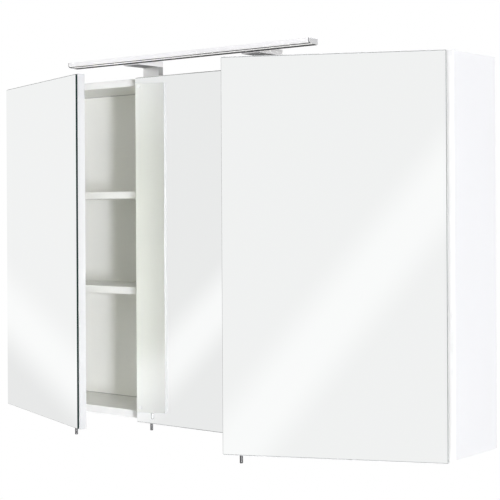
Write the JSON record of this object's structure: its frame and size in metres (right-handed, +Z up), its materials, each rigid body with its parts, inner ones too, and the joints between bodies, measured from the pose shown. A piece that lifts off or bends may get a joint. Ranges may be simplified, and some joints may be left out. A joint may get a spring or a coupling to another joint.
{
  "type": "mirror cabinet",
  "caption": "Wall-hung bathroom cabinet with hinged mirror doors, shelves inside and a lamp bar on brackets above.",
  "frame": {"origin": "centre of the four wall screw holes, on the wall plane", "axes": "+X to the right as seen from the front, +Y into the wall, +Z up"},
  "size_m": [1.2, 0.3613, 0.8042],
  "materials": {
    "mirror_glass": "silvered glass",
    "white_board": "white melamine board",
    "back_board": "white faced hardboard",
    "polished_metal": "polished",
    "soft_clear": "soft clear",
    "lamp_metal": "satin",
    "diffuser": "opal",
    "circuit_board": "white solder mask",
    "white_plastic": "moulded",
    "black_plastic": "moulded",
    "zinc": "die cast",
    "hinge_steel": "nickel plated"
  },
  "bodies": {
    "carcass": {"back_panel": "back_board", "bottom_panel": "white_board", "cam_bolts": "zinc", "cam_locks": "zinc", "driver_gland": "black_plastic", "hanger_adjusters": "hinge_steel", "hanger_hooks": "hinge_steel", "hanger_screws": "hinge_steel", "hangers": "white_plastic", "hinge_arm_screws": "hinge_steel", "hinge_arms": "hinge_steel", "hinge_plate_screws": "hinge_steel", "hinge_plates": "hinge_steel", "lamp_bar_screws": "hinge_steel", "lamp_base_screws": "hinge_steel", "lamp_bracket_left": "lamp_metal", "lamp_bracket_right": "lamp_metal", "lamp_caps": "lamp_metal", "lamp_diffuser": "diffuser", "lamp_housing": "lamp_metal", "led_driver": "white_plastic", "led_strip": "circuit_board", "partition_left": "white_board", "partition_right": "white_board", "partition_screws": "hinge_steel", "shelf_left_lower": "white_board", "shelf_left_upper": "white_board", "shelf_middle_lower": "white_board", "shelf_middle_upper": "white_board", "shelf_pins": "hinge_steel", "shelf_right_lower": "white_board", "shelf_right_upper": "white_board", "side_panel_left": "white_board", "side_panel_right": "white_board", "top_panel": "white_board", "wall_plates": "hinge_steel"},
    "door_left": {"door_board_left": "white_board", "mirror_left": "mirror_glass", "pull_left": "polished_metal", "bumpers_left": "soft_clear", "hinge_cups_left": "hinge_steel", "cup_screws_left": "hinge_steel"},
    "outer_links_left": {"outer_links_left": "hinge_steel"},
    "inner_links_left": {"inner_links_left": "hinge_steel"},
    "door_middle": {"door_board_middle": "white_board", "mirror_middle": "mirror_glass", "pull_middle": "polished_metal", "bumpers_middle": "soft_clear", "hinge_cups_middle": "hinge_steel", "cup_screws_middle": "hinge_steel"},
    "outer_links_middle": {"outer_links_middle": "hinge_steel"},
    "inner_links_middle": {"inner_links_middle": "hinge_steel"},
    "door_right": {"door_board_right": "white_board", "mirror_right": "mirror_glass", "pull_right": "polished_metal", "bumpers_right": "soft_clear", "hinge_cups_right": "hinge_steel", "cup_screws_right": "hinge_steel"},
    "outer_links_right": {"outer_links_right": "hinge_steel"},
    "inner_links_right": {"inner_links_right": "hinge_steel"}
  },
  "joints": [
    {"name": "outer_links_swing_left", "type": "hinge", "parent": "carcass", "child": "outer_links_left", "pos_m": [-0.55915, -0.14096, -0.2925], "axis": [0, 0, 1], "range_deg": [-12.37, 44.65]},
    {"name": "door_open_left", "type": "hinge", "parent": "outer_links_left", "child": "door_left", "pos_m": [-0.58614, -0.16893, -0.2925], "axis": [0, 0, -1], "range_deg": [-32.96, 119.04]},
    {"name": "inner_links_swing_left", "type": "hinge", "parent": "carcass", "child": "inner_links_left", "pos_m": [-0.55563, -0.15519, -0.2925], "axis": [0, 0, 1], "range_deg": [-12.37, 44.65]},
    {"name": "outer_links_swing_middle", "type": "hinge", "parent": "carcass", "child": "outer_links_middle", "pos_m": [0.13265, -0.14096, -0.2925], "axis": [0, 0, -1], "range_deg": [-0.61, 56.41]},
    {"name": "door_open_middle", "type": "hinge", "parent": "outer_links_middle", "child": "door_middle", "pos_m": [0.16477, -0.16284, -0.2925], "axis": [0, 0, 1], "range_deg": [-1.6, 150.4]},
    {"name": "inner_links_swing_middle", "type": "hinge", "parent": "carcass", "child": "inner_links_middle", "pos_m": [0.12913, -0.15519, -0.2925], "axis": [0, 0, -1], "range_deg": [-0.61, 56.41]},
    {"name": "outer_links_swing_right", "type": "hinge", "parent": "carcass", "child": "outer_links_right", "pos_m": [0.55915, -0.14096, -0.2925], "axis": [0, 0, -1], "range_deg": [-15.19, 41.83]},
    {"name": "door_open_right", "type": "hinge", "parent": "outer_links_right", "child": "door_right", "pos_m": [0.58473, -0.17022, -0.2925], "axis": [0, 0, 1], "range_deg": [-40.48, 111.52]},
    {"name": "inner_links_swing_right", "type": "hinge", "parent": "carcass", "child": "inner_links_right", "pos_m": [0.55563, -0.15519, -0.2925], "axis": [0, 0, -1], "range_deg": [-15.19, 41.83]}
  ],
  "couplings": [
    {"joint": "outer_links_swing_left", "follows": "door_open_left", "ratio": 0.375},
    {"joint": "inner_links_swing_left", "follows": "door_open_left", "ratio": 0.375},
    {"joint": "outer_links_swing_middle", "follows": "door_open_middle", "ratio": 0.375},
    {"joint": "inner_links_swing_middle", "follows": "door_open_middle", "ratio": 0.375},
    {"joint": "outer_links_swing_right", "follows": "door_open_right", "ratio": 0.375},
    {"joint": "inner_links_swing_right", "follows": "door_open_right", "ratio": 0.375}
  ]
}
